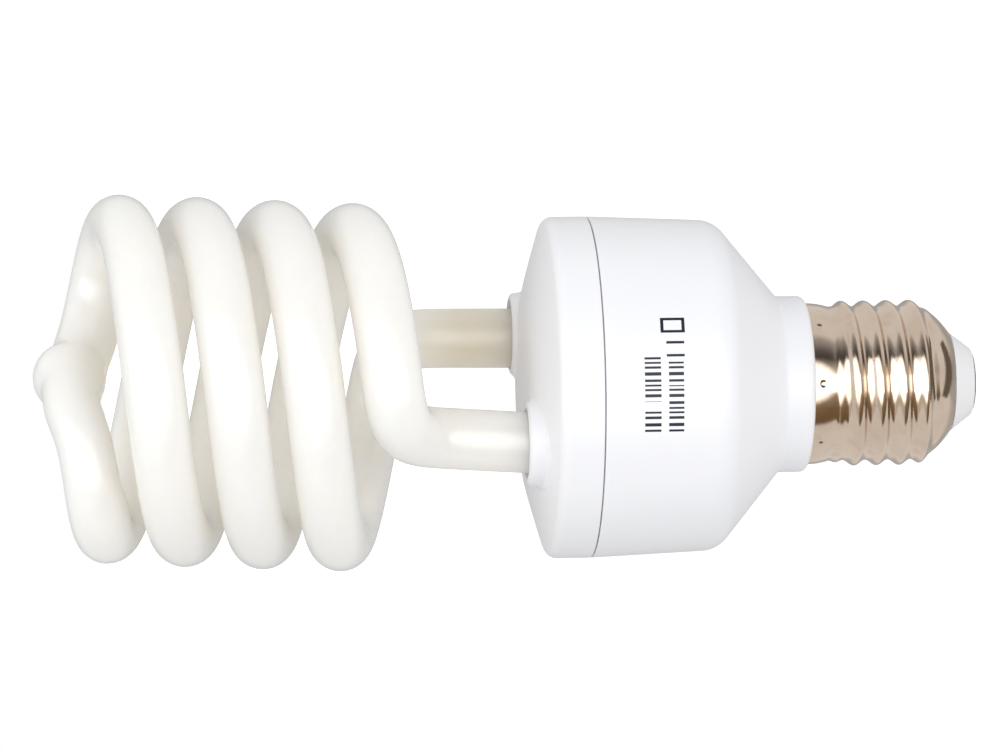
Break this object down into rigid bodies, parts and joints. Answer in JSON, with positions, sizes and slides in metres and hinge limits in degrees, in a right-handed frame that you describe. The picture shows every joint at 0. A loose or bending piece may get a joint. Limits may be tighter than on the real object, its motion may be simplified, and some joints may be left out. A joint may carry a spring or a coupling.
{
  "type": "compact fluorescent bulb",
  "caption": "Compact fluorescent bulb: a white double-spiral glass tube on a rounded white ballast housing with a threaded metal screw cap.",
  "frame": {"origin": "centre of the flat contact face at the tip of the screw cap", "axes": "+Z along the bulb's axis from the cap to the glass, +X the way the coil leans, -Y the side that the picture shows"},
  "size_m": [0.0601, 0.0592, 0.1491],
  "materials": {
    "phosphor_glass": "opaque white glass, phosphor coated inside, glossy",
    "cement": "dry white cement",
    "tinned_wire": "tinned wire",
    "white_plastic": "satin moulded plastic",
    "nickel_brass": "nickel-plated rolled metal",
    "tip_plastic": "moulded insulating plastic",
    "contact_metal": "tinned brass",
    "solder": "dull solder",
    "board_laminate": "phenolic laminate",
    "can_sleeve": "shrink sleeve",
    "ferrite": "sintered ferrite",
    "bobbin_plastic": "moulded bobbin",
    "copper_wire": "enamelled copper",
    "wire_sleeve": "insulated wire",
    "component_black": "moulded epoxy",
    "component_blue": "dipped coating",
    "component_tan": "lacquer",
    "film_red": "dipped epoxy"
  },
  "bodies": {
    "root": {"discharge_tube": "phosphor_glass", "tube_cement": "cement", "filament_leads": "tinned_wire", "tube_cover": "white_plastic", "ballast_housing": "white_plastic", "screw_shell": "nickel_brass", "base_insulator": "tip_plastic", "centre_contact": "contact_metal", "contact_solder": "solder", "circuit_board": "board_laminate", "wire_posts": "tinned_wire", "smoothing_capacitor": "can_sleeve", "choke_core": "ferrite", "choke_bobbin": "bobbin_plastic", "choke_winding": "copper_wire", "drive_toroid": "ferrite", "toroid_windings": "wire_sleeve", "switching_transistors": "component_black", "resonant_capacitor": "film_red", "blocking_capacitor": "film_red", "rectifier_diodes": "component_black", "diac": "component_blue", "resistors": "component_tan", "emi_choke_core": "ferrite", "emi_choke_winding": "copper_wire", "start_thermistor": "component_blue", "fuse_resistor": "component_tan", "neutral_wire": "wire_sleeve"}
  },
  "joints": []
}
